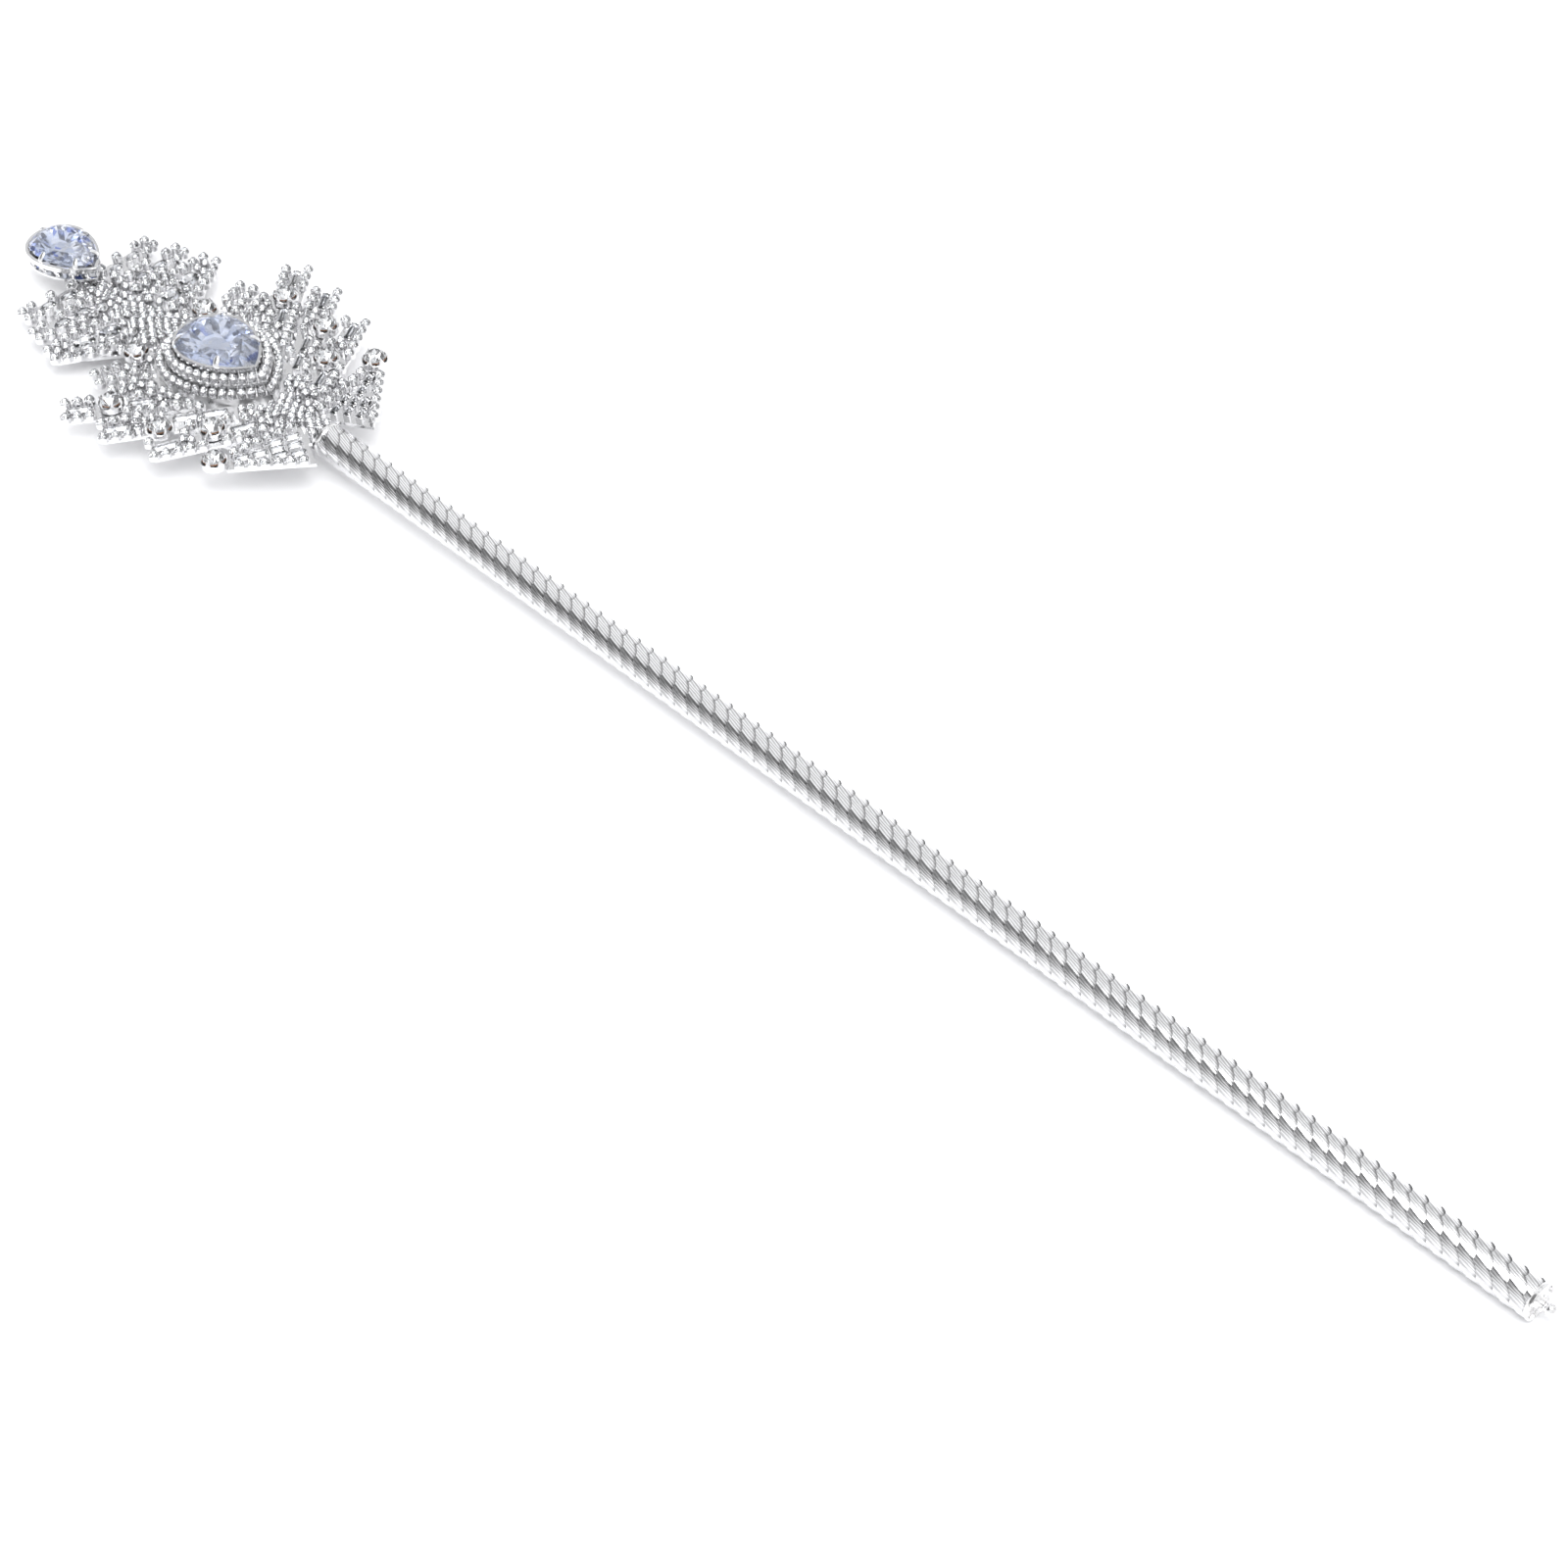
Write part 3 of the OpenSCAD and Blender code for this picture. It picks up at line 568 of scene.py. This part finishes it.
# Painted reflection: cells whose green falls under the threshold are marked for the dark glint
# colour.
stone_reflection_paint = add_node(stone_tone, "ShaderNodeMath", operation="LESS_THAN")
link_nodes(stone_tone, stone_place, "Object", stone_cell, "Vector")
link_nodes(stone_tone, stone_in, "Scale", stone_cell, "Scale")
link_nodes(stone_tone, stone_cell, "Color", stone_split, "Color")
link_nodes(stone_tone, stone_split, "Red", stone_range, "Value")
link_nodes(stone_tone, stone_in, "Low", stone_range, "To Min")
link_nodes(stone_tone, stone_in, "High", stone_range, "To Max")
link_nodes(stone_tone, stone_split, "Green", stone_reflection_paint, 0)
link_nodes(stone_tone, stone_in, "Threshold", stone_reflection_paint, 1)
link_nodes(stone_tone, stone_range, "Result", stone_out, "Tone")
link_nodes(stone_tone, stone_reflection_paint, "Value", stone_out, "Painted Reflection")


def cut_glass(name, colour, deep_colour, scale, ior):
    """Clear or tinted lead glass. The metal and transmission values stay plain."""
    material, tree, shader = new_material(name)
    tone = use_group(tree, stone_tone, Scale=scale, Low=0.0, High=1.0)
    blend = add_tint(tree, colour, deep_colour)
    wear = use_group(tree, polish, Scale=scale, Shine=0.0, Haze=0.04)
    link_nodes(tree, tone, "Tone", blend, 0)
    link_nodes(tree, blend, tint_result, shader, "Base Color")
    link_nodes(tree, wear, "Roughness", shader, "Roughness")
    shader.inputs["Transmission Weight"].default_value = 1.0
    shader.inputs["IOR"].default_value = ior
    return material


def mirror_foil(name, bright, dark, dark_reflection_paint, scale, threshold, metal=1.0):
    """The mirror behind a stone, in small patches of tone, with a few dark glints painted into its
    colour as painted reflections.
    """
    material, tree, shader = new_material(name)
    tone = use_group(tree, stone_tone, Scale=scale, Low=0.0, High=1.0, Threshold=threshold)
    blend = add_tint(tree, dark, bright)
    # The dark glint colour mixed in here is a painted reflection.
    reflection_paint_mix = add_tint(tree, dark, dark_reflection_paint)
    wear = use_group(tree, polish, Scale=scale, Shine=0.05, Haze=0.2)
    link_nodes(tree, tone, "Tone", blend, 0)
    link_nodes(tree, tone, "Painted Reflection", reflection_paint_mix, 0)
    link_nodes(tree, blend, tint_result, reflection_paint_mix, tint_first)
    link_nodes(tree, reflection_paint_mix, tint_result, shader, "Base Color")
    link_nodes(tree, wear, "Roughness", shader, "Roughness")
    shader.inputs["Metallic"].default_value = metal
    return material


chain_silver = silver(
    "chain_silver", (0.97, 0.97, 0.98), (0.78, 0.78, 0.79), 800.0, 0.06, 0.24, 0.2)
clear_glass = cut_glass("clear_glass", (0.99, 0.99, 1.0), (0.93, 0.94, 0.96), 900.0, 1.56)
# The third colour of the foil is a painted reflection: dark glints painted into it.
clear_foil = mirror_foil(
    "clear_foil", (1.0, 1.0, 1.0), (0.88, 0.89, 0.9), (0.42, 0.42, 0.43), 1300.0, 0.1)
crystal_set = [clear_glass, clear_foil, clear_foil]
seats = {}
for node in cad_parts:
    if "crystals" in node:
        seats[node] = [seat_of(points) - Vector((0, 0, seat_z)) for points in solids(node)]
        stones = bmesh.new()
        small = "halo" in node or "pave" in node
        for seat in seats[node]:
            turn = Matrix.Rotation(random.uniform(0, math.tau), 4, "Z")
            add_crystal(stones, Matrix.Translation(seat) @ turn, small_r if small else cup_r)
        make_piece("cut_" + node, stones, head, crystal_set, replaced=[node])


def add_links(mesh_data, cups):
    """The short straps between cups that stand one pitch apart."""
    for k, first in enumerate(cups):
        for second in cups[k + 1:]:
            step = second - first
            if step.length < 1.2 * chain_pitch:
                turn = Matrix.Rotation(math.atan2(step.y, step.x), 4, "Z")
                strap = bmesh.ops.create_cube(mesh_data, size=1.0)["verts"]
                bmesh.ops.transform(
                    mesh_data, verts=strap,
                    matrix=Matrix.Translation((first + second) / 2 + Vector((0, 0, link_t / 2)))
                    @ turn @ Matrix.Diagonal((step.length - 2 * cup_r + 0.5, link_w, link_t, 1)))


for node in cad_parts:
    if "_chain" not in node or "halo" in node:
        continue
    side = "left" if "left" in node else "right"
    family = "lobe_crystals_" if "lobe" in node else "feather_crystals_"
    edge_points = [p for points in solids(node) for p in points]
    cups = [seat for seat in seats[family + side]
            if min((Vector(p.xy) - Vector(seat.xy)).length for p in edge_points) < cup_r + 0.03]
    chain = bmesh.new()
    for seat in cups:
        add_cup(chain, Matrix.Translation(seat) @ Matrix.Rotation(cup_turn, 4, "Z"),
                cup_r, cup_rim, claw_top, cup_claws, seat_z - floor_drop)
    add_links(chain, cups)
    make_piece("stamped_" + node, chain, head, [chain_silver],
               replaced=[node], sharp=30)

# ---- Small cups of the middle and the halo ----
# Single round settings stand shoulder to shoulder on the plates, in the feathers' gaps and
# in two rows round the centre stone, which climb a cast base.
for name, node in (("set_pave_cups", "pave"), ("set_halo_cups", "halo")):
    small_cups = bmesh.new()
    for seat in seats[node + "_crystals"]:
        turn = Matrix.Rotation(random.uniform(0, math.tau), 4, "Z")
        add_cup(small_cups, Matrix.Translation(seat) @ turn, small_r, small_rim, claw_top,
                cup_claws, seat_z - floor_drop)
    make_piece(name, small_cups, head, [chain_silver],
               replaced=["pave_cups" if node == "pave" else "halo_chain"], sharp=30)
give_finish("halo_base", cast_silver)

# ---- Baguettes ----
# Step-cut bars of clear glass lie end to end down each feather, each in a thin box
# setting with a claw at its corners.
box_wall = 0.14
bar_h = 1.7
bar_chamfer = 0.28
claw_inset = 0.45


def bar_outline(length, width, corner):
    """An eight-sided bar outline with cut corners, walked from the middle of one end."""
    def outline(share, grow):
        x, y, c = length / 2 + grow, width / 2 + grow, corner
        points = [(x, y - c), (x - c, y), (c - x, y), (-x, y - c),
                  (-x, c - y), (c - x, -y), (x - c, -y), (x, c - y)]
        return points[int(round(share * 8)) % 8]
    return outline


def add_step_stone(mesh_data, place, outline, sides, levels, crown_levels):
    """A step-cut stone from (growth, height) levels, the first ones foiled from behind."""
    rings = [[mesh_data.verts.new(place @ Vector((*outline(k / sides, grow), z)))
              for k in range(sides)] for grow, z in levels]
    for index, (lower, upper) in enumerate(zip(rings, rings[1:])):
        for k in range(sides):
            n = (k + 1) % sides
            face = mesh_data.faces.new((lower[k], lower[n], upper[n], upper[k]))
            face.material_index = 0 if index >= len(levels) - 1 - crown_levels else 1
    mesh_data.faces.new(rings[0]).material_index = 1
    mesh_data.faces.new(rings[-1]).material_index = 0


def lie_of(points):
    """Middle, turn, length and width of a long solid that lies flat on the trays."""
    seat = seat_of(points)
    sxx = sum((p.x - seat.x) ** 2 for p in points)
    syy = sum((p.y - seat.y) ** 2 for p in points)
    sxy = sum((p.x - seat.x) * (p.y - seat.y) for p in points)
    turn = 0.5 * math.atan2(2 * sxy, sxx - syy)
    along = Vector((math.cos(turn), math.sin(turn)))
    across = Vector((-math.sin(turn), math.cos(turn)))
    runs = [(p.xy - seat.xy).dot(along) for p in points]
    spans = [(p.xy - seat.xy).dot(across) for p in points]
    place = Matrix.Translation(seat) @ Matrix.Rotation(turn, 4, "Z")
    return place, max(runs) - min(runs), max(spans) - min(spans)


def add_band(mesh_data, place, outline, sides, outside, inside, low, high):
    """A closed rail that follows an outline, between two growths and two heights."""
    rings = [[mesh_data.verts.new(place @ Vector((*outline(k / sides, grow), z)))
              for k in range(sides)]
             for grow, z in ((inside, low), (outside, low), (outside, high - 0.05),
                             (outside - 0.05, high), (inside, high))]
    for lower, upper in zip(rings, rings[1:] + rings[:1]):
        for k in range(sides):
            n = (k + 1) % sides
            mesh_data.faces.new((lower[k], lower[n], upper[n], upper[k]))


def add_claw(mesh_data, place, path, width, thick):
    """A claw swept through (outward, height) points, tapering to its tip."""
    rings = []
    for k, (out, z) in enumerate(path):
        before, after = path[max(0, k - 1)], path[min(len(path) - 1, k + 1)]
        run = Vector((after[0] - before[0], after[1] - before[1])).normalized()
        shrink = 0.6 if k == len(path) - 1 else 1.0
        ring = []
        for a in range(8):
            side = math.cos(math.tau * a / 8) * width / 2 * shrink
            lift = math.sin(math.tau * a / 8) * thick / 2 * shrink
            ring.append(mesh_data.verts.new(place @ Vector((out - run.y * lift, side,
                                                            z + run.x * lift))))
        rings.append(ring)
    for lower, upper in zip(rings, rings[1:]):
        for a in range(8):
            n = (a + 1) % 8
            mesh_data.faces.new((lower[a], lower[n], upper[n], upper[a]))
    mesh_data.faces.new(rings[0])
    mesh_data.faces.new(rings[-1])


# The third colour of the foil is a painted reflection: dark glints painted into it.
bar_foil = mirror_foil(
    "bar_foil", (1.0, 1.0, 1.0), (0.86, 0.87, 0.9), (0.5, 0.51, 0.53), 420.0, 0.12)
for side in ("left", "right"):
    bars, boxes = bmesh.new(), bmesh.new()
    for points in solids("baguettes_" + side):
        place, length, width = lie_of(points)
        outline = bar_outline(length - 2 * box_wall, width - 2 * box_wall, bar_chamfer)
        add_step_stone(bars, place, outline, 8,
                       [(-0.8, 0.15), (-0.35, 0.6), (0, 1.05), (0, 1.15), (-0.3, 1.45),
                        (-0.62, bar_h)], 2)
        add_band(boxes, place, outline, 8, box_wall, 0.0, 0.0, 1.12)
        for x in (-1, 1):
            for y in (-1, 1):
                corner = (place
                          @ Matrix.Translation((x * (length / 2 - claw_inset), y * (width / 2), 0))
                          @ Matrix.Rotation(y * math.pi / 2, 4, "Z"))
                add_claw(boxes, corner, [(-0.12, 0.1), (-0.12, 1.1), (-0.24, 1.4), (-0.5, 1.56)],
                         0.5, 0.2)
    make_piece("step_cut_bars_" + side, bars, head, [clear_glass, bar_foil],
               replaced=["baguettes_" + side])
    make_piece("bar_boxes_" + side, boxes, head, [chain_silver], sharp=35)

# ---- Oval stones of the lobes ----
# Large smooth-edged ovals of clear glass fill the lobes, each in a low collar with claws.
for side in ("left", "right"):
    ovals, collars = bmesh.new(), bmesh.new()
    for points in solids("oval_stones_" + side):
        place, length, width = lie_of(points)
        girdle_l, girdle_w = length / 2 - box_wall, width / 2 - box_wall

        def oval_outline(share, grow, a=girdle_l, b=girdle_w):
            return ((a + grow) * math.cos(math.tau * share),
                    (b + grow) * math.sin(math.tau * share))

        deep = -0.5 * girdle_w
        add_stone(ovals, place, oval_outline, 10, (-0.4 * girdle_w, bar_h - 0.02),
                  (-0.15 * girdle_w, 1.4), (1.0, 1.12), (deep * 0.8, 0.5), (deep * 1.4, 0.15))
        add_band(collars, place, oval_outline, 24, box_wall, 0.0, 0.0, 1.1)
        for k in range(4):
            angle = math.radians(45 + 90 * k)
            rim = Vector((girdle_l * math.cos(angle), girdle_w * math.sin(angle), 0))
            turn = math.atan2(rim.y, rim.x)
            add_claw(collars, place @ Matrix.Translation(rim) @ Matrix.Rotation(turn, 4, "Z"),
                     [(0.0, 0.1), (0.0, 1.1), (-0.15, 1.4), (-0.5, 1.58)], 0.55, 0.22)
    make_piece("cut_ovals_" + side, ovals, head, [clear_glass, bar_foil, bar_foil],
               replaced=["oval_stones_" + side])
    make_piece("oval_collars_" + side, collars, head, [chain_silver], sharp=35)

# ---- Round stones ----
# One larger round crystal in a tall toothed setting sits on each feather and at the waist.
# Brown lacquer on the stones' edges shows through the notches between the teeth.
round_r = 2.9
round_mouth = 2.6
lacquer, lacquer_tree, lacquer_shader = new_material("brown_lacquer")
lacquer_wear = use_group(lacquer_tree, polish, Scale=900.0, Shine=0.25, Haze=0.5)
lacquer_tone = add_tint(lacquer_tree, (0.33, 0.15, 0.06), (0.12, 0.06, 0.035))
link_nodes(lacquer_tree, lacquer_wear, "Haze Mask", lacquer_tone, 0)
link_nodes(lacquer_tree, lacquer_tone, tint_result, lacquer_shader, "Base Color")
link_nodes(lacquer_tree, lacquer_wear, "Roughness", lacquer_shader, "Roughness")
lacquer_shader.inputs["Metallic"].default_value = 0.4
for side in ("left", "right"):
    rounds, settings = bmesh.new(), bmesh.new()
    for points in solids("round_stones_" + side):
        seat = seat_of(points) - Vector((0, 0, 0.6))
        place = Matrix.Translation(seat) @ Matrix.Rotation(random.uniform(0, math.tau), 4, "Z")
        add_stone(rounds, place, round_outline(round_r - 0.12), 8,
                  (-0.42 * round_r, round_mouth + 1.25), (-0.17 * round_r, round_mouth + 0.62),
                  (round_mouth - 0.45, round_mouth - 0.1), (-0.4 * round_r, 1.3),
                  (-0.88 * round_r, 0.65))
        add_cup(settings, place, round_r + 0.35, 1.75, round_mouth + 0.95, setting_claws, 0.5)
    make_piece("cut_rounds_" + side, rounds, head, [clear_glass, clear_foil, lacquer],
               replaced=["round_stones_" + side])
    make_piece("toothed_settings_" + side, settings, head, [chain_silver],
               replaced=["round_settings_" + side], sharp=30)

# ---- Centre stone ----
# A pale blue pear-cut glass stone, point towards the tube, in a cast wall whose claws are
# pressed over its crown. The wall stands inside the halo's base.
centre_y = 37.5
centre_len, centre_w = 25.0, 18.0
centre_lift = 9.2
girdle_t = 0.5
crown_h = 2.3
centre_deep = 4.2
pear_cuts = 12
blue_glass = cut_glass("blue_glass", (0.9, 0.925, 1.0), (0.8, 0.85, 1.0), 260.0, 1.56)
# The third colour of the foil is a painted reflection: dark glints painted into it.
blue_foil = mirror_foil(
    "blue_foil", (1.0, 1.0, 1.0), (0.85, 0.9, 1.0), (0.42, 0.5, 0.86), 420.0, 0.1, 0.78)
setting_silver = silver(
    "setting_silver", (0.96, 0.96, 0.97), (0.78, 0.78, 0.79), 500.0, 0.05, 0.22, 0.12)


def pear_outline(length, width):
    """Walks a pear outline from its round end: a circle, then two larger arcs to the point."""
    top = length / 2 - width / 2
    reach = ((length - width / 2) ** 2 - width ** 2 / 4) / width

    def outline(share, grow):
        r = width / 2 + grow
        arc = math.pi * r / 2
        side_len = (r + reach) * math.acos(reach / (r + reach))
        hand = 1 if share <= 0.5 else -1
        run = 2 * min(share, 1 - share) * (arc + side_len)
        if run < arc:
            return hand * r * math.sin(run / r), top + r * math.cos(run / r)
        angle = (run - arc) / (r + reach)
        return hand * ((r + reach) * math.cos(angle) - reach), top - (r + reach) * math.sin(angle)
    return outline


def add_pear(mesh_data, place, length, width, deep):
    add_stone(mesh_data, place, pear_outline(length, width), pear_cuts,
              (-0.2 * width, girdle_t + crown_h), (-0.09 * width, girdle_t + 0.62 * crown_h),
              (0, girdle_t), (-0.2 * width, -0.45 * deep), (-0.36 * width, -deep + 0.05))


def add_pear_claws(mesh_data, place, outline, shares, path, width, thick):
    """Claws that stand square to a pear outline at the given shares of its way round."""
    for share in shares:
        here = Vector(outline(share, 0.0))
        turn = Vector(outline(share + 0.002, 0.0)) - Vector(outline(share - 0.002, 0.0))
        out = math.atan2(turn.x, -turn.y)
        if math.cos(out) * here.x + math.sin(out) * (here.y + 2) < 0:
            out += math.pi
        add_claw(mesh_data, place @ Matrix.Translation((*here, 0)) @ Matrix.Rotation(out, 4, "Z"),
                 path, width, thick)


centre_place = Matrix.Translation((0, centre_y, centre_lift))
centre = bmesh.new()
add_pear(centre, centre_place, centre_len, centre_w, centre_deep)
make_piece("cut_centre_stone", centre, head, [blue_glass, blue_foil, blue_foil],
           replaced=["centre_stone"])
give_finish("centre_setting", setting_silver)
centre_claws = bmesh.new()
add_pear_claws(centre_claws, centre_place, pear_outline(centre_len, centre_w),
               (0.13, 0.36, 0.64, 0.87),
               [(0.5, -1.5), (0.55, 0.2), (0.3, 1.1), (-0.6, 1.9), (-1.6, 2.45)], 1.5, 0.6)
make_piece("centre_claws", centre_claws, head, [setting_silver], sharp=50)

# ---- Tip stone ----
# The second pear stone stands free above the lobes on a post. Its setting is open work:
# a foot band, a seat band, arched struts between them, and claws over the stone.
tip_y = 97.8
tip_len, tip_w = 22.0, 15.0
tip_lift = 8.2
tip_foot = 4.5
tip_deep = 3.0
bezel = 0.7
rail_steps = 64
strut_count = 14
basket_struts = 8
foot_level = tip_foot - tip_lift
tip_place = Matrix.Translation((0, tip_y, tip_lift))
tip = bmesh.new()
add_pear(tip, tip_place, tip_len, tip_w, tip_deep)
make_piece("cut_tip_stone", tip, head, [blue_glass, blue_foil, blue_foil],
           replaced=["tip_stone"])
gallery = bmesh.new()
tip_outline = pear_outline(tip_len, tip_w)
add_band(gallery, tip_place, tip_outline, rail_steps, bezel, -0.9, -0.9, girdle_t)
add_band(gallery, tip_place, tip_outline, rail_steps, bezel - 0.5, -1.9, foot_level,
         foot_level + 0.7)
strut_shares = [k / strut_count + 0.5 / strut_count for k in range(strut_count)]
add_pear_claws(gallery, tip_place, tip_outline, strut_shares,
               [(-0.6, -3.4), (-0.35, -2.6), (0.15, -1.7), (0.35, -0.6)], 1.3, 0.6)
add_pear_claws(gallery, tip_place, tip_outline, (0.02, 0.25, 0.42, 0.58, 0.75),
               [(0.4, -1.5), (0.45, 0.2), (0.3, 1.0), (-0.5, 1.8), (-1.4, 2.35)], 1.3, 0.5)
floor_low_ring, floor_high_ring = [
    [gallery.verts.new(tip_place @ Vector((*tip_outline(k / rail_steps, -1.0), z)))
     for k in range(rail_steps)] for z in (foot_level + 0.15, foot_level + 0.5)]
gallery.faces.new(floor_low_ring)
gallery.faces.new(floor_high_ring)
for k in range(rail_steps):
    n = (k + 1) % rail_steps
    gallery.faces.new((floor_low_ring[k], floor_low_ring[n], floor_high_ring[n],
                       floor_high_ring[k]))
basket_y = 5.7
basket_place = tip_place @ Matrix.Translation((0, basket_y, foot_level))
add_turned(gallery, [(2.3, -2.9), (2.95, -2.9), (3.15, -2.7), (3.2, -2.4), (3.0, -2.1),
                     (2.5, -2.1), (2.3, -2.4)], 48, basket_place, closed=True)
for k in range(basket_struts):
    add_claw(gallery,
             basket_place @ Matrix.Rotation(math.tau * (k + 0.5) / basket_struts, 4, "Z"),
             [(2.75, -2.7), (3.0, -2.0), (3.5, -1.2), (4.3, -0.4), (5.0, 0.3)], 1.5, 0.5)
make_piece("open_tip_setting", gallery, head, [setting_silver],
           replaced=["tip_setting"], sharp=40)
